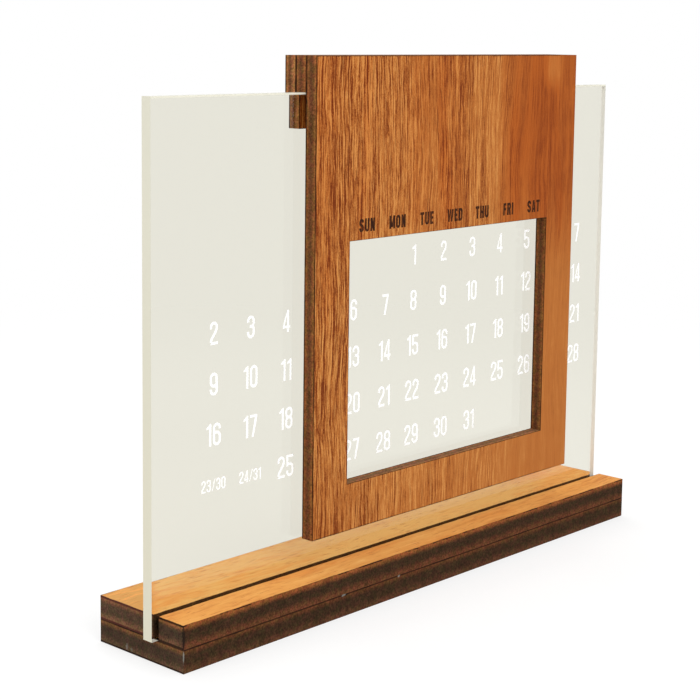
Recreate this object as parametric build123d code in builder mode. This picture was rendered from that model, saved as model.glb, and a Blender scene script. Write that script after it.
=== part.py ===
"""Perpetual desk calendar: a clear date panel stands in a slotted plywood base, and a plywood
frame with a window hangs on the panel's top edge and slides along it to choose the month.

Frame: origin at the centre of the base's underside, +X along the base to the right, -Y to the
front, +Z up. Millimetres.
"""

import os
from build123d import *

os.makedirs("parts", exist_ok=True)

# Base: a full-size lower board with a front and a rear rail glued on top of it.
base_length = 180.0
base_depth = 30.0
lower_board_thickness = 5.8
rail_thickness = 5.8
base_face_ply = 0.8
front_rail_depth = 8.7

# Date panel: clear sheet that stands on the lower board, in the slot between the rails.
panel_thickness = 3.0
panel_height = 126.5
panel_left_overhang = 2.0
panel_right_inset = 3.0
slot_clearance = 0.1

# Slider: window board in front of the panel, spacer strip on its edge, hook strip behind it.
# It hangs clear of the base.
window_board_thickness = 3.6
hook_strip_thickness = 3.6
slider_face_ply = 0.6
slider_length = 108.4
slider_left_offset = 47.4
slider_base_gap = 8.4
spacer_height = 9.0
hook_height = 18.0
slider_clearance = 0.3

# Window in the slider, centred on its length.
window_width = 83.2
window_height = 62.6
window_sill_height = 12.3

# Places along the depth, from the front of the base to its back.
base_front = -base_depth / 2
slot_width = panel_thickness + 2 * slot_clearance
slot_front = base_front + front_rail_depth
slot_back = slot_front + slot_width
rear_rail_depth = base_depth - front_rail_depth - slot_width
panel_back = slot_back - slot_clearance
panel_front = panel_back - panel_thickness
window_board_back = panel_front - slider_clearance
spacer_thickness = panel_thickness + 2 * slider_clearance
spacer_back = window_board_back + spacer_thickness
hook_back = spacer_back + hook_strip_thickness

# Places along the length, from the left end of the base.
base_left = -base_length / 2
panel_left = base_left - panel_left_overhang
panel_length = panel_left_overhang + base_length - panel_right_inset
slider_left = base_left + slider_left_offset
window_left = slider_left + (slider_length - window_width) / 2

# Heights above the table.
base_top = lower_board_thickness + rail_thickness
panel_bottom = lower_board_thickness
panel_top = panel_bottom + panel_height
slider_top = panel_top + spacer_height
slider_bottom = base_top + slider_base_gap
slider_height = slider_top - slider_bottom
window_bottom = slider_bottom + window_sill_height
hook_bottom = slider_top - hook_height


def place_rectangle(left, bottom, length, height, mode=Mode.ADD):
    """Draws a rectangle from its lower left corner in the sketch being made."""
    with Locations((left, bottom)):
        Rectangle(length, height, align=(Align.MIN, Align.MIN), mode=mode)


def draw_lower_board():
    place_rectangle(base_left, base_front, base_length, base_depth)


def draw_rear_rail():
    place_rectangle(base_left, slot_back, base_length, rear_rail_depth)


def draw_front_rail():
    place_rectangle(base_left, base_front, base_length, front_rail_depth)


def draw_date_panel():
    place_rectangle(panel_left, panel_bottom, panel_length, panel_height)


def draw_window_board():
    place_rectangle(slider_left, slider_bottom, slider_length, slider_height)
    place_rectangle(window_left, window_bottom, window_width, window_height, mode=Mode.SUBTRACT)


def draw_spacer_strip():
    place_rectangle(slider_left, panel_top, slider_length, spacer_height)


def draw_hook_strip():
    place_rectangle(slider_left, hook_bottom, slider_length, hook_height)


def cut_sheet(label, plane, thickness, draw_outline):
    """Cuts one flat sheet: its outline on the plane, as thick as the sheet along the normal."""
    with BuildPart() as sheet:
        with BuildSketch(plane):
            draw_outline()
        extrude(amount=thickness)
    sheet.part.label = label
    export_step(sheet.part, f"parts/{label}.step")


def cut_plywood(name, plane, thickness, face_ply, first_face, last_face, draw_outline):
    """Cuts one three-ply board as its plies: a face ply, the core and the other face ply."""
    core_ply = thickness - 2 * face_ply
    cut_sheet(f"{name}_{first_face}_ply", plane, face_ply, draw_outline)
    cut_sheet(f"{name}_core", plane.offset(face_ply), core_ply, draw_outline)
    cut_sheet(f"{name}_{last_face}_ply", plane.offset(face_ply + core_ply), face_ply, draw_outline)


# The base's boards lie flat, and their plies are stacked upwards.
for name, underside, thickness, draw_outline in (
    ("lower_board", 0.0, lower_board_thickness, draw_lower_board),
    ("rear_rail", lower_board_thickness, rail_thickness, draw_rear_rail),
    ("front_rail", lower_board_thickness, rail_thickness, draw_front_rail),
):
    plane = Plane.XY.offset(underside)
    cut_plywood(name, plane, thickness, base_face_ply, "bottom", "top", draw_outline)

# The date panel stands upright. The XZ plane faces the front, so a sheet grows forwards from
# its back face.
cut_sheet("date_panel", Plane.XZ.offset(-panel_back), panel_thickness, draw_date_panel)

# The slider's boards stand upright too, and their plies are stacked forwards.
for name, back_face, thickness, draw_outline in (
    ("window_board", window_board_back, window_board_thickness, draw_window_board),
    ("spacer_strip", spacer_back, spacer_thickness, draw_spacer_strip),
    ("hook_strip", hook_back, hook_strip_thickness, draw_hook_strip),
):
    plane = Plane.XZ.offset(-back_face)
    cut_plywood(name, plane, thickness, slider_face_ply, "back", "front", draw_outline)
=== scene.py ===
import math

import bpy
from mathutils import Matrix, Vector
from mathutils.geometry import delaunay_2d_cdt


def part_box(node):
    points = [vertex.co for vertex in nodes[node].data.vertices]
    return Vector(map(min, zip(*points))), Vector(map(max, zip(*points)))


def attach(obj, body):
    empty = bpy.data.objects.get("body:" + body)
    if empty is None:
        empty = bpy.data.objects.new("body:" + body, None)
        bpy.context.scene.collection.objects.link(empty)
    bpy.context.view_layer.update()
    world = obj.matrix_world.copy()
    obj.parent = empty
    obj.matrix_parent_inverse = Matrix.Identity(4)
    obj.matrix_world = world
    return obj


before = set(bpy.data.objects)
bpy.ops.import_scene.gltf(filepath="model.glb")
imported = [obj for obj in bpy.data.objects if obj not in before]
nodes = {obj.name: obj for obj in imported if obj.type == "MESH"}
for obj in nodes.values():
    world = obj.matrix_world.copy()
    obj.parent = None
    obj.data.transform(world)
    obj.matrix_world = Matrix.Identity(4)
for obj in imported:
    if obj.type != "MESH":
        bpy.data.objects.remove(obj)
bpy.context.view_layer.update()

# ---------------------------------------------------------------------------------------------
# Base boards: a full-size lower board with a rear and a front rail glued on top of it. They are
# three-ply sheet with a light orange face veneer, laser-cut, so every cut edge is charred.
# ---------------------------------------------------------------------------------------------

MM = 0.001
TO_MM = 1000.0
X_AXIS, Y_AXIS, Z_AXIS = range(3)


def srgb(red, green, blue):
    """An 8-bit screen colour as the linear colour that a shader socket takes."""
    channels = []
    for value in (red, green, blue):
        share = value / 255
        channels.append(share / 12.92 if share <= 0.04045 else ((share + 0.055) / 1.055) ** 2.4)
    return (*channels, 1.0)


def feed(tree, value, socket):
    """Links an output to a socket, or sets the socket to a constant."""
    if isinstance(value, bpy.types.NodeSocket):
        tree.links.new(value, socket)
    else:
        socket.default_value = value


def feed_sockets(tree, node, **values):
    """Feeds a node's sockets; an underscore in a socket's name stands for a space."""
    for label, value in values.items():
        feed(tree, value, node.inputs[label.replace("_", " ")])
    return node


def add_node(tree, kind, **values):
    """A new node of a kind, with these of its sockets fed."""
    return feed_sockets(tree, tree.nodes.new(f"ShaderNode{kind}"), **values)


def calculate(tree, operation, first, second=0.0, clamp=False):
    node = add_node(tree, "Math")
    node.operation = operation
    node.use_clamp = clamp
    feed(tree, first, node.inputs[0])
    feed(tree, second, node.inputs[1])
    return node.outputs[0]


def add_up(tree, *values):
    total = values[0]
    for value in values[1:]:
        total = calculate(tree, "ADD", total, value)
    return total


def ramp(tree, value, low, high, out_low=0.0, out_high=1.0):
    """A smooth step: out_low where value is below low, out_high above high."""
    node = add_node(
        tree, "MapRange", Value=value, From_Min=low, From_Max=high, To_Min=out_low, To_Max=out_high
    )
    node.interpolation_type = "SMOOTHSTEP"
    return node.outputs["Result"]


def mix_colours(tree, share, first, second):
    """Colours mixed by a share. A Mix node's colour sockets are its inputs 6 and 7."""
    node = add_node(tree, "Mix", Factor=share)
    node.data_type = "RGBA"
    feed(tree, first, node.inputs[6])
    feed(tree, second, node.inputs[7])
    return node.outputs[2]


def mix_values(tree, share, first, second):
    """Values mixed by a share. A Mix node's value sockets are its inputs 2 and 3."""
    node = add_node(tree, "Mix", Factor=share)
    feed(tree, first, node.inputs[2])
    feed(tree, second, node.inputs[3])
    return node.outputs[0]


def choose(tree, share, value):
    """A plain value as it is. A pair of values or colours is mixed by the share."""
    if not isinstance(value, list):
        return value
    mix = mix_colours if isinstance(value[0], tuple) else mix_values
    return mix(tree, share, *value)


def split(tree, vector):
    """A vector's three parts."""
    return add_node(tree, "SeparateXYZ", Vector=vector).outputs


def join(tree, x, y, z):
    """A vector from its three parts."""
    return add_node(tree, "CombineXYZ", X=x, Y=y, Z=z).outputs[0]


def calculate_vector(tree, operation, first, second):
    """Adds, subtracts or multiplies two vectors or colours part by part."""
    node = add_node(tree, "VectorMath")
    node.operation = operation
    feed(tree, first, node.inputs[0])
    feed(tree, second, node.inputs[1])
    return node.outputs[0]


def vector_length(tree, vector):
    node = add_node(tree, "VectorMath")
    node.operation = "LENGTH"
    feed(tree, vector, node.inputs[0])
    return node.outputs["Value"]


def dim(tree, colour, value):
    """The colour times a grey value."""
    node = add_node(tree, "VectorMath")
    node.operation = "SCALE"
    feed(tree, colour, node.inputs[0])
    feed(tree, value, node.inputs["Scale"])
    return node.outputs[0]


def stretched_noise(tree, position, waves, detail=1.0, swing=None):
    """Noise with so many waves a millimetre along each axis of the position. With a swing it is
    centred on nought and multiplied by the swing."""
    point = calculate_vector(tree, "MULTIPLY", position, waves)
    node = add_node(tree, "TexNoise", Vector=point, Scale=1.0, Detail=detail, Roughness=0.6)
    if swing is None:
        return node.outputs["Fac"]
    centred = calculate(tree, "SUBTRACT", node.outputs["Fac"], 0.5)
    return calculate(tree, "MULTIPLY", centred, swing)


def grain_noise(tree, position, along, across, detail=1.0, swing=None):
    """Noise drawn out along the grain, which is the position's first axis."""
    return stretched_noise(tree, position, (along, across, across), detail, swing)


def smooth_profile(tree, place, start, *changes):
    """A value that starts as given and changes smoothly at each (from, to, change) in turn."""
    return add_up(tree, start, *(ramp(tree, place, a, b, 0.0, change) for a, b, change in changes))


def start_group(name, inputs, outputs):
    """An empty shader node group with named sockets, its input sockets and its output node."""
    tree = bpy.data.node_groups.new(name, "ShaderNodeTree")
    for label, kind in inputs.items():
        tree.interface.new_socket(label, in_out="INPUT", socket_type=f"NodeSocket{kind}")
    for label, kind in outputs.items():
        tree.interface.new_socket(label, in_out="OUTPUT", socket_type=f"NodeSocket{kind}")
    return tree, tree.nodes.new("NodeGroupInput").outputs, tree.nodes.new("NodeGroupOutput").inputs


def place_group(tree, group, **values):
    """Places a node group with its values, and gives its outputs."""
    node = add_node(tree, "Group")
    node.node_tree = group
    return feed_sockets(tree, node, **values).outputs


def make_veneer_group():
    """Sliced veneer. The position is in millimetres: along the grain, across it, through it."""
    tree, given, result = start_group(
        "veneer_grain",
        {
            "position": "Vector",
            "fineness": "Vector",
            "dark wood": "Color",
            "middle wood": "Color",
            "light wood": "Color",
            "pore": "Color",
            "figure": "Float",
            "lines": "Float",
            "bands": "Float",
            "pores": "Float",
            "tone": "Float",
            "redness": "Float",
        },
        {"colour": "Color", "height": "Float"},
    )
    straight = calculate_vector(tree, "MULTIPLY", given["position"], given["fineness"])
    # The grain wanders a little from side to side.
    drift = grain_noise(tree, straight, 0.018, 0.03, swing=8.0)
    wobble = grain_noise(tree, straight, 0.13, 0.22, swing=0.8)
    sideways = join(tree, 0.0, calculate(tree, "ADD", drift, wobble), 0.0)
    position = calculate_vector(tree, "ADD", straight, sideways)

    bands = add_up(
        tree,
        grain_noise(tree, position, 0.006, 0.075, 2.0, swing=0.9),
        grain_noise(tree, position, 0.03, 0.3, 2.0, swing=1.1),
    )
    patches = ramp(tree, grain_noise(tree, position, 0.045, 0.14), 0.35, 0.65, 0.86, 1.14)
    figure = add_up(
        tree,
        grain_noise(tree, position, 0.045, 2.9, 2.0, swing=3.2),
        grain_noise(tree, position, 0.3, 3.8, 1.0, swing=1.8),
        grain_noise(tree, position, 2.5, 3.6, 1.0, swing=0.9),
        grain_noise(tree, position, 0.12, 0.7, 1.0, swing=0.5),
    )
    lines = grain_noise(tree, position, 0.09, 0.75, 2.0, swing=1.0)
    tone = add_up(
        tree,
        calculate(tree, "MULTIPLY", bands, given["bands"]),
        calculate(tree, "MULTIPLY", lines, given["lines"]),
        calculate(tree, "MULTIPLY", calculate(tree, "MULTIPLY", figure, patches), given["figure"]),
        grain_noise(tree, position, 0.14, 0.06, swing=0.16),
        given["tone"],
    )
    colour = mix_colours(
        tree, ramp(tree, tone, -0.55, 0.05), given["dark wood"], given["middle wood"]
    )
    colour = mix_colours(tree, ramp(tree, tone, 0.0, 0.55), colour, given["light wood"])
    red_zones = ramp(tree, grain_noise(tree, position, 0.014, 0.13), 0.5, 0.72, 0.0, 0.55)
    red_share = calculate(tree, "ADD", red_zones, given["redness"], clamp=True)
    reddened = calculate_vector(tree, "MULTIPLY", colour, (0.93, 0.68, 0.45))
    colour = mix_colours(tree, red_share, colour, reddened)
    pore_lines = ramp(tree, grain_noise(tree, position, 0.13, 3.2), 0.63, 0.73)
    pore_lines = calculate(tree, "MULTIPLY", pore_lines, given["pores"], clamp=True)
    feed(tree, mix_colours(tree, pore_lines, colour, given["pore"]), result["colour"])
    relief = calculate(tree, "SUBTRACT", calculate(tree, "MULTIPLY", tone, 0.6), pore_lines)
    feed(tree, relief, result["height"])
    return tree


def make_charred_edge_group():
    """Laser-charred ply edge. The depth is in millimetres from the board's first face."""
    tree, given, result = start_group(
        "charred_edge",
        {
            "position": "Vector",
            "depth": "Float",
            "thickness": "Float",
            "scorched": "Color",
            "char": "Color",
            "far char": "Color",
            "burnt line": "Color",
            "first band": "Float",
            "first reach": "Float",
            "last band": "Float",
            "far from": "Float",
            "far to": "Float",
            "first line": "Float",
            "last line": "Float",
            "line gaps": "Float",
            "line strength": "Float",
        },
        {"colour": "Color", "height": "Float"},
    )
    position = given["position"]
    depth = given["depth"]
    from_last = calculate(tree, "SUBTRACT", given["thickness"], depth)
    # The bands waver a little, and fade into one another.
    waver = grain_noise(tree, position, 0.2, 0.2, 3.0, swing=1.0)
    ragged = stretched_noise(tree, position, (1.3, 1.3, 0.9), 2.0, swing=1.3)
    wavering = add_up(tree, depth, waver, ragged)
    colour = mix_colours(
        tree,
        ramp(tree, wavering, given["far from"], given["far to"]),
        given["char"],
        given["far char"],
    )
    first = ramp(tree, add_up(tree, depth, waver), 0.1, given["first reach"], 1.0, 0.0)
    first = calculate(tree, "MULTIPLY", first, given["first band"])
    last = ramp(tree, from_last, 0.1, given["first reach"], 1.0, 0.0)
    last = calculate(tree, "MULTIPLY", last, given["last band"])
    either = calculate(tree, "MAXIMUM", first, last)
    colour = mix_colours(tree, either, colour, given["scorched"])
    fibres = stretched_noise(tree, position, (2.3, 2.3, 2.1), 2.0)
    soot = grain_noise(tree, position, 0.45, 0.45, 3.0)
    colour = dim(tree, colour, ramp(tree, fibres, 0.25, 0.75, 0.58, 1.42))
    colour = dim(tree, colour, ramp(tree, soot, 0.35, 0.7, 1.14, 0.82))
    # The soot is greenish in some places and reddish in others.
    tint = mix_colours(
        tree,
        ramp(tree, grain_noise(tree, position, 0.7, 0.9, 2.0), 0.35, 0.65),
        (0.9, 1.07, 0.92, 1.0),
        (1.1, 0.94, 1.06, 1.0),
    )
    colour = calculate_vector(tree, "MULTIPLY", colour, tint)
    # A thin burnt line, fainter in places, marks each face of the board.
    broken = grain_noise(tree, position, 0.16, 0.16, 3.0)
    strength = ramp(tree, broken, 0.5, 0.58, given["line gaps"], given["line strength"])
    lines = []
    for place, width in ((depth, given["first line"]), (from_last, given["last line"])):
        half_width = calculate(tree, "MULTIPLY", width, 0.5)
        lines.append(ramp(tree, place, half_width, width, 1.0, 0.0))
    line = calculate(tree, "MULTIPLY", calculate(tree, "MAXIMUM", *lines), strength)
    feed(tree, mix_colours(tree, line, colour, given["burnt line"]), result["colour"])
    feed(tree, fibres, result["height"])
    return tree


def make_rectangle_group():
    """How far a point is outside a rectangle, in millimetres, negative inside it."""
    tree, given, result = start_group(
        "rectangle_distance",
        {
            "position": "Vector",
            "middle along": "Float",
            "half along": "Float",
            "middle across": "Float",
            "half across": "Float",
        },
        {"distance": "Float"},
    )
    sides = []
    for part, side in zip(split(tree, given["position"]), ("along", "across")):
        offset = calculate(tree, "SUBTRACT", part, given[f"middle {side}"])
        reach = calculate(tree, "ABSOLUTE", offset)
        sides.append(calculate(tree, "SUBTRACT", reach, given[f"half {side}"]))
    feed(tree, calculate(tree, "MAXIMUM", *sides), result["distance"])
    return tree


veneer_group = make_veneer_group()
charred_edge_group = make_charred_edge_group()
rectangle_group = make_rectangle_group()


GLUE = srgb(158, 160, 152)
SOOT = srgb(30, 20, 15)
# Painted shade on the slot's walls: how dark it is, and how far it takes to fade in.
SLOT_WALL_PAINTED_SHADE = 0.4
SLOT_WALL_SHADE_FADE = 0.1
CHARRED_ROUGHNESS = 0.85
GRAIN_RELIEF = 0.05 * MM


def smear(tree, point, place, size):
    """1 at a place on the object, fading raggedly to 0 over the size, both in millimetres."""
    away = calculate_vector(tree, "SUBTRACT", point, Vector(place) * MM)
    away = calculate_vector(tree, "MULTIPLY", away, [TO_MM / length for length in size])
    waves = 1.7 * TO_MM
    ragged = stretched_noise(tree, point, (waves, waves, waves), 2.0, swing=1.6)
    return ramp(tree, add_up(tree, vector_length(tree, away), ragged), 0.4, 1.0, 1.0, 0.0)


def rectangle_values(corners, axes):
    """A box's middle and half size in the board's plane, as the rectangle group takes them."""
    low, high = corners
    values = {}
    for axis, side in zip(axes, ("along", "across")):
        values[f"middle_{side}"] = (low[axis] + high[axis]) / 2 * TO_MM
        values[f"half_{side}"] = (high[axis] - low[axis]) / 2 * TO_MM
    return values


def box_round(*names):
    """The box round several nodes."""
    lows, highs = zip(*(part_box(name) for name in names))
    low = Vector(min(corner[axis] for corner in lows) for axis in range(3))
    high = Vector(max(corner[axis] for corner in highs) for axis in range(3))
    return low, high


def start_material(name):
    """A new material, its node tree and its Principled BSDF."""
    material = bpy.data.materials.new(name)
    material.use_nodes = True
    tree = material.node_tree
    return material, tree, tree.nodes["Principled BSDF"]


def board_places(tree, point, axes):
    """A point's places on a board in millimetres: along the grain, across it, through it."""
    parts = split(tree, point)
    return [calculate(tree, "MULTIPLY", parts[axis], TO_MM) for axis in axes]


def board_material(name, axes, corners, look, offset, window=None):
    """One board's finish: veneer on its two faces, charred edges all round. The axes are the
    object's, in the order along the grain, across it and through the board. Where the look gives
    a pair of edge values, the second is for the edges that are cut across the grain. The offset
    is where on a large sheet of veneer the board was cut, in millimetres."""
    material, tree, surface = start_material(name)
    low, high = corners
    through = axes[2]
    thickness = (high[through] - low[through]) * TO_MM

    coordinates = add_node(tree, "TexCoord").outputs
    along, across, depth_place = board_places(tree, coordinates["Object"], axes)
    board = join(tree, along, across, depth_place)
    position = calculate_vector(tree, "ADD", board, (offset, offset, 0.0))

    facing = split(tree, coordinates["Normal"])
    on_face, on_end = (
        calculate(tree, "GREATER_THAN", calculate(tree, "ABSOLUTE", facing[axis]), 0.5)
        for axis in (through, axes[0])
    )

    first_face = (high if look["first_face_high"] else low)[through] * TO_MM
    depth = calculate(tree, "ABSOLUTE", calculate(tree, "SUBTRACT", depth_place, first_face))
    edge_values = {key: choose(tree, on_end, value) for key, value in look["edge"].items()}
    edge = place_group(
        tree,
        charred_edge_group,
        position=position,
        depth=depth,
        thickness=thickness,
        **edge_values,
    )
    edge_colour = edge["colour"]
    # The slot's walls are darkened with painted shade, for the shade deep in the slot.
    if look["slot"] is not None:
        middle, half = look["slot"]
        from_middle = calculate(tree, "ABSOLUTE", calculate(tree, "SUBTRACT", across, middle))
        shade = ramp(tree, from_middle, half, half + SLOT_WALL_SHADE_FADE, SLOT_WALL_PAINTED_SHADE, 1.0)
        edge_colour = dim(tree, edge_colour, shade)
    for place, size, strength, mark_colour in look["marks"]:
        mark = smear(tree, coordinates["Object"], place, size)
        mark = calculate(tree, "MULTIPLY", mark, strength)
        edge_colour = mix_colours(tree, mark, edge_colour, mark_colour)
    veneer = place_group(
        tree,
        veneer_group,
        position=position,
        figure=look["figure"](tree, along, across),
        tone=look["tone"](tree, along, across),
        redness=look["redness"](tree, along, across),
        pores=look["pores"](tree, along, across),
        **look["veneer"],
    )

    # A narrow scorched rim runs along the cut outline on the veneer.
    border = place_group(
        tree, rectangle_group, position=board, **rectangle_values(corners, axes)
    )
    inward = calculate(tree, "MULTIPLY", border["distance"], -1.0)
    if window is not None:
        hole = place_group(
            tree, rectangle_group, position=board, **rectangle_values(window, axes)
        )
        # The window's rim is narrower, and its upright cut edges are darkened with painted shade.
        inward = calculate(
            tree, "MINIMUM", inward, calculate(tree, "MULTIPLY", hole["distance"], 2.0)
        )
        jamb_painted_shade = ramp(tree, hole["distance"], 0.05, 0.3, 0.8, 1.0)
        edge_colour = dim(tree, edge_colour, mix_values(tree, on_end, jamb_painted_shade, 1.0))
    ragged = grain_noise(tree, position, 0.3, 0.3, 3.0)
    rim_width = ramp(tree, ragged, 0.42, 0.68, *look["rim_widths"])
    rim = ramp(tree, inward, 0.0, rim_width, look["rim"](tree, along, across), 0.0)
    face_colour = mix_colours(tree, rim, veneer["colour"], look["edge"]["burnt_line"])

    height = mix_values(tree, on_face, edge["height"], veneer["height"])
    relief = add_node(tree, "Bump", Strength=0.5, Distance=GRAIN_RELIEF, Height=height)
    feed_sockets(
        tree,
        surface,
        Base_Color=mix_colours(tree, on_face, edge_colour, face_colour),
        Roughness=mix_values(tree, on_face, CHARRED_ROUGHNESS, look["roughness"]),
        Specular_IOR_Level=0.07,
        Normal=relief.outputs[0],
    )
    return material


def dress(material, *names):
    """Gives CAD nodes their finish."""
    for name in names:
        mesh = nodes[name].data
        mesh.materials.clear()
        mesh.materials.append(material)


def ply_names(board, plies):
    return [f"{board}_{ply}" for ply in plies]


def dress_board(board, plies, axes, look, offset, window=None):
    """Dresses a board's three plies as one piece of plywood."""
    names = ply_names(board, plies)
    material = board_material(f"{board}_wood", axes, box_round(*names), look, offset, window)
    dress(material, *names)


BASE_PLIES = ("bottom_ply", "core", "top_ply")
BASE_GRAIN = (X_AXIS, Y_AXIS, Z_AXIS)
# Places on the base, in millimetres, for its marks and the painted shade in its slot.
LEFT_END = -90.0
FRONT_FACE = -15.0
SLOT_MIDDLE = -4.7
SLOT_HALF_WIDTH = 1.65
base_edge = {
    "scorched": [srgb(158, 91, 47), srgb(152, 98, 54)],
    "char": [srgb(58, 40, 25), srgb(66, 50, 37)],
    "far_char": [srgb(96, 57, 35), srgb(108, 76, 54)],
    "burnt_line": srgb(36, 20, 12),
    "first_band": [0.7, 1.0],
    "first_reach": 1.95,
    "last_band": 0.0,
    "far_from": 3.2,
    "far_to": 5.6,
    "first_line": [0.4, 0.7],
    "last_line": [0.05, 0.6],
    "line_gaps": [0.1, 0.9],
    "line_strength": 1.0,
}
base_veneer = {
    "fineness": (1.5, 1.0, 1.0),
    "dark_wood": srgb(204, 124, 56),
    "middle_wood": srgb(231, 161, 82),
    "light_wood": srgb(244, 188, 108),
    "pore": srgb(186, 98, 44),
    "bands": 0.4,
    "lines": 1.0,
}


def even_share(value):
    """A share that is the same all over a board. Other shares are functions that work it out
    from the place in millimetres along the grain and across it."""
    return lambda tree, along, across: value


def front_rail_tone(tree, along, across):
    return smooth_profile(tree, along, -0.07, (-70, -30, 0.06), (-20, 20, -0.08))


base_look = {
    "first_face_high": True,
    "edge": base_edge,
    "veneer": base_veneer,
    "figure": even_share(0.17),
    "tone": even_share(0.0),
    "redness": even_share(0.0),
    "pores": even_share(0.9),
    "rim_widths": (0.04, 0.4),
    "rim": even_share(0.9),
    "roughness": 0.6,
    "slot": (SLOT_MIDDLE, SLOT_HALF_WIDTH),
    "marks": (),
}
front_rail_look = {
    **base_look,
    "tone": front_rail_tone,
    "marks": (((LEFT_END, FRONT_FACE, 8.6), (0.7, 0.7, 4.5), 0.85, SOOT),),
}
lower_board_look = {
    **base_look,
    "slot": None,
    "edge": {
        **base_edge,
        "first_band": [0.25, 0.5],
        "far_char": [srgb(86, 55, 36), srgb(96, 72, 52)],
        "first_line": 0.45,
        "line_gaps": 0.85,
    },
    "marks": (
        ((-35.2, FRONT_FACE, 5.7), (1.9, 0.6, 0.6), 0.9, SOOT),
        ((-36.0, FRONT_FACE, 5.7), (1.0, 0.6, 0.5), 0.5, GLUE),
        ((-14.8, FRONT_FACE, 5.6), (0.6, 0.6, 0.4), 0.5, GLUE),
        ((LEFT_END, -14.95, 4.2), (0.3, 0.25, 1.8), 0.5, GLUE),
        ((LEFT_END, 5.2, 1.2), (0.6, 0.6, 1.0), 0.28, GLUE),
        ((LEFT_END, 3.4, 1.0), (0.6, 0.5, 0.6), 0.2, GLUE),
    ),
}


def rear_rail_tone(tree, along, across):
    """The rear rail's veneer is paler than the front rail's but for its two ends, and palest in
    its middle, behind the slider. The paleness is painted light that makes up for the shade of the
    panel and the slider.
    """
    slanted = add_up(tree, along, calculate(tree, "MULTIPLY", across, -0.83))
    return smooth_profile(tree, slanted, -0.4, (-90, -85, 0.75), (-45, -20, 0.2), (40, 75, -0.45))


rear_rail_look = {
    **base_look,
    "tone": rear_rail_tone,
    # Paler veneer colours: painted light against the shade that the panel and the slider cast on
    # the rail.
    "veneer": {
        **base_veneer,
        "dark_wood": srgb(212, 156, 84),
        "middle_wood": srgb(251, 173, 92),
        "light_wood": srgb(255, 198, 120),
    },
    "edge": {
        **base_edge,
        "scorched": srgb(130, 86, 56),
        "char": srgb(78, 58, 43),
        "far_char": srgb(118, 83, 58),
        "burnt_line": srgb(76, 38, 32),
    },
}

dress_board("lower_board", BASE_PLIES, BASE_GRAIN, lower_board_look, 0.0)
dress_board("rear_rail", BASE_PLIES, BASE_GRAIN, rear_rail_look, 37.0)
dress_board("front_rail", BASE_PLIES, BASE_GRAIN, front_rail_look, 74.0)

# ---------------------------------------------------------------------------------------------
# Date panel: clear cast acrylic sheet, 3 mm thick, that stands loose in the base's slot. Its
# laser-cut edges gather the light in the sheet; that light is painted into their pale cream
# colour.
# ---------------------------------------------------------------------------------------------

LIP_HEIGHT = 0.6 * MM
LIP_FADE = 0.25 * MM


def mix_shaders(tree, share, first, second):
    node = add_node(tree, "MixShader", Fac=share)
    feed(tree, first.outputs[0], node.inputs[1])
    feed(tree, second.outputs[0], node.inputs[2])
    return node


def make_acrylic():
    material, tree, sheet = start_material("clear_acrylic")
    feed_sockets(
        tree,
        sheet,
        Base_Color=srgb(230, 228, 216),
        Specular_Tint=(0.45, 0.45, 0.45, 1.0),
        Roughness=0.0,
        IOR=1.49,
        Transmission_Weight=1.0,
    )
    # Light passes straight through to what the panel shades.
    clear = add_node(tree, "BsdfTransparent", Color=srgb(247, 246, 241))
    paths = add_node(tree, "LightPath").outputs
    light_rays = calculate(tree, "MAXIMUM", paths["Is Shadow Ray"], paths["Is Diffuse Ray"])
    pane = mix_shaders(tree, light_rays, sheet, clear)

    coordinates = add_node(tree, "TexCoord").outputs
    facing = split(tree, coordinates["Normal"])
    on_edge = calculate(tree, "LESS_THAN", calculate(tree, "ABSOLUTE", facing[Y_AXIS]), 0.5)
    # The ends are a little yellower towards the bottom, and the top edge is duller.
    bottom, top = (corner.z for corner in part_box("date_panel"))
    place_up = split(tree, coordinates["Object"])[Z_AXIS]
    height = ramp(tree, place_up, bottom, top)
    edge_colour = mix_colours(tree, height, srgb(219, 214, 192), srgb(221, 218, 200))
    on_top = calculate(tree, "GREATER_THAN", facing[Z_AXIS], 0.5)
    edge_colour = mix_colours(tree, on_top, edge_colour, srgb(208, 205, 187))
    # An edge that is seen through the sheet is painted paler: painted light.
    inside = add_node(tree, "NewGeometry").outputs["Backfacing"]
    edge_colour = mix_colours(tree, inside, edge_colour, srgb(255, 255, 252))
    # The cut has left a thin rounded lip along the top of both faces, which gathers light; that
    # light is painted in as a pale opaque band.
    lip = ramp(tree, place_up, top - LIP_HEIGHT, top - LIP_HEIGHT + LIP_FADE)
    on_lip = calculate(tree, "SUBTRACT", lip, on_edge, clamp=True)
    edge_colour = mix_colours(tree, on_lip, edge_colour, srgb(224, 221, 204))
    edge = add_node(tree, "BsdfPrincipled", Base_Color=edge_colour, Roughness=0.25)
    whole = mix_shaders(tree, calculate(tree, "MAXIMUM", on_edge, lip), pane, edge)
    feed(tree, whole.outputs[0], tree.nodes["Material Output"].inputs["Surface"])
    return material


dress(make_acrylic(), "date_panel")

# ---------------------------------------------------------------------------------------------
# Date numerals: opaque white ink on the panel's front face, thirteen columns by five rows, in
# plain condensed figures. Each figure is drawn with strokes of one width.
# ---------------------------------------------------------------------------------------------

ARC_STEP = math.radians(18)
TOUCHING = 1e-4
TRIANGLES_INSIDE = 1
MERGE_DISTANCE = 1e-5


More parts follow.
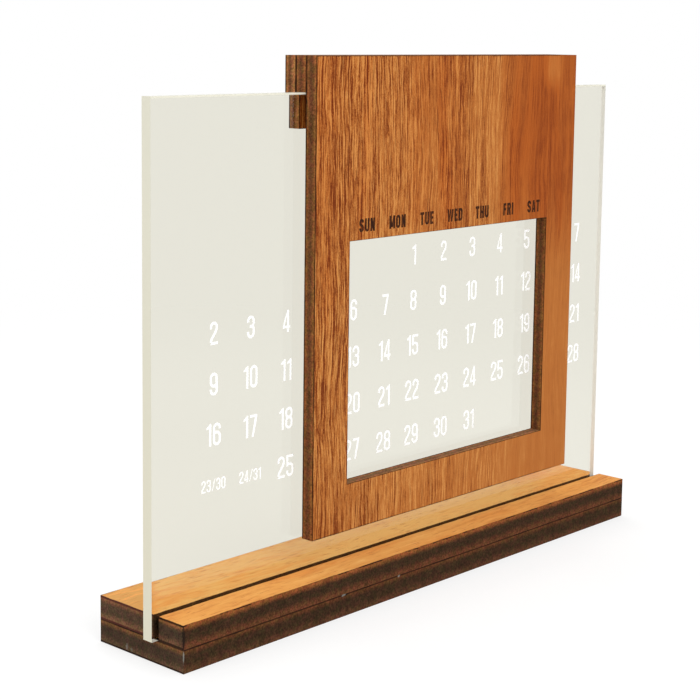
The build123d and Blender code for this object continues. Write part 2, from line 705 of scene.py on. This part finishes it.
def round_corners(points, closed):
    """A path's points, with an arc of its own radius in place of each corner (x, y, radius)."""
    path = []
    for number, (x, y, radius) in enumerate(points):
        corner = Vector((x, y))
        is_end = not closed and number in (0, len(points) - 1)
        if is_end or radius == 0:
            path.append(corner)
            continue
        before = (Vector(points[number - 1][:2]) - corner).normalized()
        after = (Vector(points[(number + 1) % len(points)][:2]) - corner).normalized()
        half_angle = before.angle(after) / 2
        centre = corner + (before + after).normalized() * radius / math.sin(half_angle)
        first = corner + before * radius / math.tan(half_angle) - centre
        last = corner + after * radius / math.tan(half_angle) - centre
        sweep = first.angle_signed(last)
        steps = max(2, math.ceil(abs(sweep) / ARC_STEP))
        for step in range(steps + 1):
            path.append(centre + Matrix.Rotation(-sweep * step / steps, 2) @ first)
    # Two arcs that meet share a point.
    starts = path[-1:] + path[:-1] if closed else [None] + path[:-1]
    return [b for a, b in zip(starts, path) if a is None or (b - a).length > TOUCHING]


def stroke(width, *points, closed=False):
    """A pen stroke of one width along a path, as four-sided pieces with mitred joints."""
    path = round_corners([(*point, 0)[:3] for point in points], closed)
    count = len(path)
    sides = []
    for number, point in enumerate(path):
        before = path[number - 1] if closed or number else point * 2 - path[1]
        after = path[(number + 1) % count] if closed or number < count - 1 else point * 2 - before
        arriving = (point - before).normalized()
        leaving = (after - point).normalized()
        mitre = (arriving.orthogonal() + leaving.orthogonal()).normalized()
        reach = width / 2 / mitre.dot(arriving.orthogonal())
        sides.append((point + mitre * reach, point - mitre * reach))
    next_sides = sides[1:] + sides[:1] if closed else sides[1:]
    return [
        [right, next_right, next_left, left]
        for (left, right), (next_left, next_right) in zip(sides, next_sides)
    ]


def outline(*points):
    """A plain polygon as a one-piece shape."""
    return [[Vector(point) for point in points]]


def turn_round(shape, width):
    """A shape turned half round in its box, which is one high."""
    return [[Vector((width - point.x, 1 - point.y)) for point in piece] for piece in shape]


def draw_figures(width, pen):
    """Every figure as {character: (its width, its pieces)}, one high, bottom left corner at 0."""
    left, right, bottom, top = pen / 2, width - pen / 2, pen / 2, 1 - pen / 2
    bend = (right - left) / 2
    one = width * 0.62
    stem = width * 0.70
    slash = width * 0.85
    waist = 0.53
    six = stroke(
        pen, (right, 0.72), (right, top, bend), (left, top, bend), (left, bottom, bend),
        (right, bottom, bend), (right, 0.585, bend), (left, 0.585),
    )
    figures = {
        "0": stroke(
            pen, (left, bottom, bend), (right, bottom, bend), (right, top, bend),
            (left, top, bend), closed=True,
        ),
        "1": outline(
            (one - pen, 0), (one, 0), (one, 1), (one - 0.6 * pen, 1), (0, 0.83), (0, 0.76),
            (one - pen, 0.79),
        ),
        "2": stroke(
            pen, (left, 0.69), (left, top, bend), (right, top, bend), (right, 0.63, 0.38),
            (left, 0.2, 0.28), (left, bottom), (width, bottom),
        ),
        "3": stroke(
            pen, (left, 0.71), (left, top, bend), (right, top, bend), (right, waist, bend * 0.8),
            (width * 0.36, waist),
        ) + stroke(
            pen, (width * 0.36, waist), (right, waist, bend * 0.8), (right, bottom, bend),
            (left, bottom, bend), (left, 0.3),
        ),
        "4": stroke(pen, (stem, 0), (stem, 1))
        + stroke(pen * 0.9, (0, 0.235), (width, 0.235))
        + outline((0, 0.2), (pen * 0.85, 0.29), (stem - pen / 2, 0.8), (stem, 1),
                  (stem - pen * 0.45, 1), (0, 0.3)),
        "5": stroke(pen, (width * 0.97, top), (left, top), (left, 0.47))
        + stroke(
            pen, (left, 0.58), (right, 0.58, bend), (right, bottom, bend), (left, bottom, bend),
            (left, 0.29),
        ),
        "6": six,
        "7": stroke(pen, (0, top), (width, top))
        + outline((width - pen * 1.05, top), (width, 1 - pen), (width * 0.26 + pen, 0),
                  (width * 0.26, 0)),
        "8": stroke(
            pen, (left, waist, bend), (right, waist, bend), (right, top, bend),
            (left, top, bend), closed=True,
        ) + stroke(
            pen, (left, bottom, bend), (right, bottom, bend), (right, waist, bend),
            (left, waist, bend), closed=True,
        ),
        "9": turn_round(six, width),
        "/": outline((0, 0), (pen * 0.62, 0), (slash, 1), (slash - pen * 0.62, 1)),
    }
    widths = {"1": one, "/": slash}
    return {key: (widths.get(key, width), shape) for key, shape in figures.items()}


def join_pieces(pieces):
    """One flat triangulated outline, counter-clockwise, from pieces that may overlap."""
    corners, loops = [], []
    for piece in pieces:
        area = sum(a.cross(b) for a, b in zip(piece, piece[1:] + piece[:1]))
        loop = range(len(corners), len(corners) + len(piece))
        loops.append(list(loop) if area > 0 else list(reversed(loop)))
        corners += piece
    points, _, triangles, _, _, sources = delaunay_2d_cdt(
        corners, [], loops, TRIANGLES_INSIDE, MERGE_DISTANCE
    )
    return points, [face for face, source in zip(triangles, sources) if source]


def add_object(name, data):
    """A new object, placed in the scene."""
    added = bpy.data.objects.new(name, data)
    bpy.context.scene.collection.objects.link(added)
    return added


def print_words(name, words, letters, gap, front, rear):
    """One thin solid of many words. Each word is (text, middle x, middle z, height), in metres,
    and letters gives every character's width and pieces, one high."""
    vertices, faces = [], []
    joined = {key: (width, *join_pieces(pieces)) for key, (width, pieces) in letters.items()}
    for text, middle_x, middle_z, height in words:
        length = sum(joined[key][0] for key in text) + gap * (len(text) - 1)
        start = -length / 2
        for key in text:
            width, points, triangles = joined[key]
            first = len(vertices)
            count = len(points)
            for depth in (front, rear):
                for point in points:
                    x = middle_x + (start + point.x) * height
                    z = middle_z + (point.y - 0.5) * height
                    vertices.append((x, depth, z))
            # A border between two triangles is met twice, and the outline's only once.
            borders = {}
            for face in triangles:
                faces.append([first + corner for corner in face])
                faces.append([first + count + corner for corner in reversed(face)])
                for a, b in zip(face, face[1:] + face[:1]):
                    if borders.pop((b, a), None) is None:
                        borders[a, b] = True
            for a, b in borders:
                faces.append([first + b, first + a, first + count + a, first + count + b])
            start += width + gap
    mesh = bpy.data.meshes.new(name)
    mesh.from_pydata(vertices, [], faces)
    mesh.validate()
    return add_object(name, mesh)


COLUMNS = 13
ROWS = 5
DAYS_A_WEEK = 7
LAST_DATE = 31
COLUMN_PITCH = 12.18 * MM
ROW_PITCH = 12.22 * MM
FIRST_COLUMN_INSET = 19.42 * MM
FIRST_ROW_DROP = 43.7 * MM
NUMERAL_HEIGHT = 5.5 * MM
SMALL_HEIGHT = 2.98 * MM
NUMERAL_WIDTH = 0.455
NUMERAL_PEN = 0.12
NUMERAL_GAP = 0.10
INK_DEPTH = 0.03 * MM
INK_BITE = 0.005 * MM
WHITE = (1.0, 1.0, 1.0, 1.0)
# The print isn't quite even: how far each column is to the right of its place.
COLUMN_ERRORS = (-0.1, -0.2, -0.2, -0.2, -0.2, -0.1, -1.0, -0.85, -0.6, -0.35, 0.1, 0.3, 0.5)

panel_low, panel_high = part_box("date_panel")
dates = []
for row in range(ROWS):
    for column in range(COLUMNS):
        # The first date stands in the seventh column, and each row starts a week later.
        date = (row - 1) * DAYS_A_WEEK + column + 2
        if not 1 <= date <= LAST_DATE:
            continue
        x = panel_low.x + FIRST_COLUMN_INSET + column * COLUMN_PITCH
        x += COLUMN_ERRORS[column] * MM
        z = panel_high.z - FIRST_ROW_DROP - row * ROW_PITCH
        # The last row's first two places hold two dates each, in small figures.
        shared = row == ROWS - 1 and date + DAYS_A_WEEK <= LAST_DATE
        text = f"{date}/{date + DAYS_A_WEEK}" if shared else str(date)
        dates.append((text, x, z, SMALL_HEIGHT if shared else NUMERAL_HEIGHT))

numerals = print_words(
    "date_numerals",
    dates,
    draw_figures(NUMERAL_WIDTH, NUMERAL_PEN),
    NUMERAL_GAP,
    panel_low.y - INK_DEPTH,
    panel_low.y + INK_BITE,
)


def make_ink():
    material, tree, surface = start_material("white_ink")
    feed_sockets(
        tree, surface, Base_Color=srgb(249, 249, 247), Roughness=0.7, Specular_IOR_Level=0.1
    )
    # The ink glows a little: painted light that stands in for the light the clear sheet behind
    # lets through it, and keeps it white in the jamb's shade.
    feed_sockets(tree, surface, Emission_Color=WHITE, Emission_Strength=0.07)
    return material


numerals.data.materials.append(make_ink())
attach(numerals, "panel")

# ---------------------------------------------------------------------------------------------
# Slider boards: window board, spacer strip and hook strip, glued face to face. They are thin
# three-ply sheet with an open-pored reddish brown veneer, its grain upright.
# ---------------------------------------------------------------------------------------------

SLIDER_PLIES = ("back_ply", "core", "front_ply")
SLIDER_GRAIN = (Z_AXIS, X_AXIS, Y_AXIS)
WINDOW_WIDTH = 83.2 * MM
WINDOW_HEIGHT = 62.6 * MM
WINDOW_SILL = 12.3 * MM
HOOK_OFFSET = 117.0
slider_edge = {
    "scorched": [srgb(144, 90, 46), srgb(152, 100, 62)],
    "char": [srgb(100, 62, 37), srgb(118, 82, 56)],
    "far_char": [srgb(100, 62, 37), srgb(118, 82, 56)],
    "burnt_line": srgb(46, 23, 11),
    "first_band": 1.0,
    "first_reach": 1.7,
    "last_band": 1.0,
    "far_from": 1.0,
    "far_to": 2.0,
    "first_line": 0.3,
    "last_line": 0.6,
    "line_gaps": 0.8,
    "line_strength": 1.0,
}
slider_veneer = {
    "fineness": (1.0, 1.0, 1.0),
    "dark_wood": srgb(113, 48, 12),
    "middle_wood": srgb(177, 105, 46),
    "light_wood": srgb(206, 140, 74),
    "pore": srgb(66, 32, 12),
    "bands": 0.35,
    "lines": 0.0,
}


def slider_upper_share(tree, along):
    return ramp(tree, along, 55.0, 110.0)


def pale_corner(tree, along, across):
    """A small paler patch near the board's top right corner."""
    sides = smooth_profile(tree, across, 0.0, (49, 53, 1.0), (56, 61, -1.0))
    return calculate(tree, "MULTIPLY", sides, ramp(tree, along, 129, 137))


def slider_tone(tree, along, across):
    """The veneer's light and dark stripes, which differ above and below the window."""
    upper = smooth_profile(
        tree, across, -0.07, (-34, -24, 0.11), (-10, 2, -0.08), (11, 13, -0.08), (16, 18, 0.14),
        (24.5, 27, 0.12), (30.5, 32, -0.2), (32, 50, -0.1),
    )
    lower = smooth_profile(tree, across, -0.03, (-22, -10, 0.12))
    tone = mix_values(tree, slider_upper_share(tree, along), lower, upper)
    pale = calculate(tree, "MULTIPLY", pale_corner(tree, along, across), 0.3)
    return calculate(tree, "ADD", tone, pale)


def slider_rim(tree, along, across):
    return ramp(tree, across, 54, 62, 1.0, 0.15)


def slider_figure(tree, along, across):
    """The fine figure is strongest at the left, and calmer below the window."""
    figure = smooth_profile(tree, across, 1.2, (-16, 2, -0.45), (24, 42, -0.55))
    return calculate(tree, "MULTIPLY", figure, ramp(tree, along, 28, 40, 0.72, 1.0))


def slider_pores(tree, along, across):
    return ramp(tree, across, 5, 40, 0.45, 0.1)


def slider_redness(tree, along, across):
    """Reddish stripes above the window, and a broad one down the board's right side. The rest
    of the board is less red."""
    stripes = smooth_profile(
        tree, across, 0.4, (-39, -33, -0.24), (-9, -5, 0.25), (-1, 2, -0.2), (5, 8, 0.2),
        (12, 18, -0.3), (30, 32, 0.35), (32, 44, 0.4),
    )
    pale = calculate(tree, "MULTIPLY", pale_corner(tree, along, across), -0.6)
    redness = calculate(tree, "ADD", stripes, pale)
    return mix_values(tree, slider_upper_share(tree, along), -0.6, redness)


slider_look = {
    "first_face_high": False,
    "edge": slider_edge,
    "veneer": slider_veneer,
    "figure": slider_figure,
    "tone": slider_tone,
    "redness": slider_redness,
    "pores": slider_pores,
    "rim_widths": (0.28, 0.45),
    "rim": slider_rim,
    "roughness": 0.55,
    "slot": None,
    "marks": (),
}
hook_strip_look = {
    **slider_look,
    "edge": {**slider_edge, "scorched": srgb(170, 112, 64), "char": srgb(134, 90, 58)},
    "tone": even_share(-0.15),
    "figure": even_share(0.8),
    "redness": even_share(0.1),
}


def hook_front_tone(tree, along, across):
    """The side of the hook strip that faces the panel is darkened with painted shade, least at its
    left end.
    """
    return ramp(tree, across, -42.6, -37, -0.1, -0.5)


window_board = box_round(*ply_names("window_board", SLIDER_PLIES))
board_middle = (window_board[0].x + window_board[1].x) / 2
window_low = Vector((board_middle - WINDOW_WIDTH / 2, 0, window_board[0].z + WINDOW_SILL))
window_high = window_low + Vector((WINDOW_WIDTH, 0, WINDOW_HEIGHT))

window = (window_low, window_high)
dress_board("window_board", SLIDER_PLIES, SLIDER_GRAIN, slider_look, 11.0, window)
dress_board("spacer_strip", SLIDER_PLIES, SLIDER_GRAIN, slider_look, 64.0)
dress_board("hook_strip", SLIDER_PLIES, SLIDER_GRAIN, hook_strip_look, HOOK_OFFSET)

hook_strip = box_round(*ply_names("hook_strip", SLIDER_PLIES))
# The strip's front ply sits in the narrow gap behind the panel and gets painted shade of its own.
hook_front_shaded_look = {**hook_strip_look, "tone": hook_front_tone}
hook_front_shaded_wood = board_material(
    "hook_front_shaded_wood", SLIDER_GRAIN, hook_strip, hook_front_shaded_look, HOOK_OFFSET
)
dress(hook_front_shaded_wood, "hook_strip_front_ply")

# ---------------------------------------------------------------------------------------------
# Weekday headings: burnt into the window board's front face above the window, one over each
# column of dates.
# ---------------------------------------------------------------------------------------------

HEADING_HEIGHT = 3.4 * MM
HEADING_PITCH = 11.75 * MM
HEADING_RISE = 3.72 * MM
HEADING_WIDTH = 0.5
HEADING_PEN = 0.2
HEADING_GAP = 0.12
BURN_HEIGHT = 0.02 * MM
BURN_BITE = 0.01 * MM
WEEKDAYS = ("SUN", "MON", "TUE", "WED", "THU", "FRI", "SAT")


def draw_letters(width, pen):
    """The headings' letters as {character: (its width, its pieces)}, one high."""
    left, right, bottom, top = pen / 2, width - pen / 2, pen / 2, 1 - pen / 2
    bend = (right - left) / 2
    narrow = width * 0.8
    broad = width * 1.28
    wide = width * 1.5
    left_stem = stroke(pen, (left, 0), (left, 1))
    right_stem = stroke(pen, (right, 0), (right, 1))
    top_bar = stroke(pen, (0, top), (narrow, top))
    middle_bar = stroke(pen, (0, 0.5), (narrow * 0.93, 0.5))
    bottom_bar = stroke(pen, (0, bottom), (narrow, bottom))
    m_stem = stroke(pen, (broad - left, 0), (broad - left, 1))
    half_pen = pen * 0.5
    letters = {
        "S": (width, stroke(
            pen, (right, 0.70), (right, top, bend), (left, top, bend), (left, 0.57, bend * 0.9),
            (right, 0.43, bend * 0.9), (right, bottom, bend), (left, bottom, bend), (left, 0.30),
        )),
        "U": (width, stroke(
            pen, (left, 1), (left, bottom, bend), (right, bottom, bend), (right, 1),
        )),
        "N": (width, left_stem + right_stem + outline(
            (0, 1), (width - pen, 0), (width, 0), (pen, 1),
        )),
        "M": (broad, left_stem + m_stem + outline(
            (0, 1), (broad / 2 - half_pen, 0.12), (broad / 2 + half_pen, 0.12), (broad, 1),
            (broad - pen, 1), (broad / 2, 0.42), (pen, 1),
        )),
        "O": (width, stroke(
            pen, (left, bottom, bend), (right, bottom, bend), (right, top, bend),
            (left, top, bend), closed=True,
        )),
        "T": (width * 0.9, stroke(pen, (0, top), (width * 0.9, top))
              + stroke(pen, (width * 0.45, 0), (width * 0.45, top))),
        "E": (narrow, left_stem + top_bar + middle_bar + bottom_bar),
        "F": (narrow, left_stem + top_bar + middle_bar),
        "W": (wide, outline(
            (0, 1), (wide * 0.17, 0), (wide * 0.36, 0), (wide * 0.5, 0.72), (wide * 0.64, 0),
            (wide * 0.83, 0), (wide, 1), (wide - pen, 1), (wide * 0.735, 0.3),
            (wide * 0.58, 1), (wide * 0.42, 1), (wide * 0.265, 0.3), (pen, 1),
        )),
        "D": (width, stroke(
            pen, (left, bottom), (right, bottom, bend), (right, top, bend), (left, top),
            closed=True,
        )),
        "H": (width, left_stem + right_stem + stroke(pen, (left, 0.5), (right, 0.5))),
        "R": (width, left_stem
              + stroke(pen, (left, top), (right, top, bend * 0.8), (right, 0.52, bend * 0.8),
                       (left, 0.52))
              + outline((width * 0.42, 0.5), (width * 0.42 + pen, 0.5), (width, 0),
                        (width - pen * 1.05, 0))),
        "I": (pen, left_stem),
        "A": (width, outline((0, 0), (pen, 0), (width / 2, 0.8), (width - pen, 0), (width, 0),
                             (width / 2 + half_pen, 1), (width / 2 - half_pen, 1))
              + stroke(pen * 0.85, (width * 0.26, 0.27), (width * 0.74, 0.27))),
    }
    return letters


headings = []
for number, weekday in enumerate(WEEKDAYS):
    x = board_middle + (number - (DAYS_A_WEEK - 1) / 2) * HEADING_PITCH
    headings.append((weekday, x, window_high.z + HEADING_RISE, HEADING_HEIGHT))

heading_marks = print_words(
    "weekday_headings",
    headings,
    draw_letters(HEADING_WIDTH, HEADING_PEN),
    HEADING_GAP,
    window_board[0].y - BURN_HEIGHT,
    window_board[0].y + BURN_BITE,
)


def make_burn():
    material, tree, surface = start_material("burnt_lettering")
    point = add_node(tree, "TexCoord").outputs["Object"]
    board = join(tree, *board_places(tree, point, SLIDER_GRAIN))
    # The wood's upright fibres show through the burn.
    fibres = grain_noise(tree, board, 0.3, 2.6, 2.0)
    deep, light = srgb(44, 20, 6), srgb(88, 46, 18)
    colour = mix_colours(tree, ramp(tree, fibres, 0.42, 0.7), deep, light)
    feed_sockets(tree, surface, Base_Color=colour, Roughness=0.9, Specular_IOR_Level=0.15)
    return material


heading_marks.data.materials.append(make_burn())
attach(heading_marks, "slider")

# ---------------------------------------------------------------------------------------------
# Floor, light and camera. The floor and the room are plain white where they are seen, and the
# floor keeps the object's shadow.
# ---------------------------------------------------------------------------------------------

FLOOR_HALF = 4.0
FLOOR_GAP = 0.05 * MM
NEAR_FLOOR = 0.15
FAR_FLOOR = 0.45

floor_mesh = bpy.data.meshes.new("floor")
floor_corners = [
    (side_x * FLOOR_HALF, side_y * FLOOR_HALF, -FLOOR_GAP)
    for side_x, side_y in ((-1, -1), (1, -1), (1, 1), (-1, 1))
]
floor_mesh.from_pydata(floor_corners, [], [(0, 1, 2, 3)])
floor = add_object("floor", floor_mesh)


def seen_directly(tree):
    """1 for the rays that show a background: camera, glossy and transmission rays."""
    paths = add_node(tree, "LightPath").outputs
    seen = calculate(tree, "MAXIMUM", paths["Is Camera Ray"], paths["Is Glossy Ray"])
    return calculate(tree, "MAXIMUM", seen, paths["Is Transmission Ray"])


def make_floor_material():
    material, tree, unused = start_material("floor_white")
    tree.nodes.remove(unused)
    # Near the object a third of the floor's white is reflected light, so that a shadow shows.
    lit = add_node(tree, "BsdfDiffuse", Color=(0.35, 0.35, 0.35, 1.0))
    glow = add_node(tree, "Emission", Color=WHITE, Strength=0.665)
    near = add_node(tree, "AddShader")
    feed(tree, lit.outputs[0], near.inputs[0])
    feed(tree, glow.outputs[0], near.inputs[1])
    white = add_node(tree, "Emission", Color=WHITE)
    point = add_node(tree, "TexCoord").outputs["Object"]
    far_share = ramp(tree, vector_length(tree, point), NEAR_FLOOR, FAR_FLOOR)
    shown = mix_shaders(tree, far_share, near, white)
    bounce = add_node(tree, "BsdfDiffuse", Color=(0.8, 0.8, 0.8, 1.0))
    whole = mix_shaders(tree, seen_directly(tree), bounce, shown)
    feed(tree, whole.outputs[0], tree.nodes["Material Output"].inputs["Surface"])
    return material


floor_mesh.materials.append(make_floor_material())

world = bpy.data.worlds.new("studio")
bpy.context.scene.world = world
world.use_nodes = True
sky = world.node_tree
room = feed_sockets(sky, sky.nodes["Background"], Color=WHITE, Strength=0.6)
backdrop = add_node(sky, "Background", Color=WHITE)
whole_sky = mix_shaders(sky, seen_directly(sky), room, backdrop)
feed(sky, whole_sky.outputs[0], sky.nodes["World Output"].inputs["Surface"])

OBJECT_MIDDLE = Vector((0, 0, 0.06))


def add_soft_box(name, place, size, power):
    """A square soft box that faces the object."""
    lamp = bpy.data.lights.new(name, "AREA")
    lamp.size = size
    lamp.energy = power
    holder = add_object(name, lamp)
    holder.location = place
    holder.rotation_mode = "QUATERNION"
    holder.rotation_quaternion = (OBJECT_MIDDLE - Vector(place)).to_track_quat("-Z", "Y")


add_soft_box("front_soft_box", (-0.35, -1.1, 0.6), 0.8, 7.5)
add_soft_box("top_soft_box", (0.1, 0.0, 1.2), 0.9, 3.0)
add_soft_box("back_soft_box", (0.3, 0.9, 0.9), 0.8, 3.0)
add_soft_box("left_soft_box", (-1.1, 0.1, 0.5), 0.6, 2.5)

CAMERA_PLACE = Vector((-335.5, -291.3, 147.2)) * MM
CAMERA_YAW = 47.374
CAMERA_PITCH = -7.298
CAMERA_ROLL = 0.728
CAMERA_LENS = 85.73
CAMERA_SHIFT = -0.15

camera_data = bpy.data.cameras.new("camera")
camera_data.lens = CAMERA_LENS
camera_data.shift_y = CAMERA_SHIFT
camera_data.clip_start = 0.01
camera = add_object("camera", camera_data)
bpy.context.scene.camera = camera
turn = Matrix.Rotation(math.radians(-CAMERA_YAW), 4, "Z")
tilt = Matrix.Rotation(math.radians(90 + CAMERA_PITCH), 4, "X")
roll = Matrix.Rotation(math.radians(CAMERA_ROLL), 4, "Z")
camera.matrix_world = Matrix.Translation(CAMERA_PLACE) @ turn @ tilt @ roll

bpy.context.scene.view_settings.view_transform = "Standard"
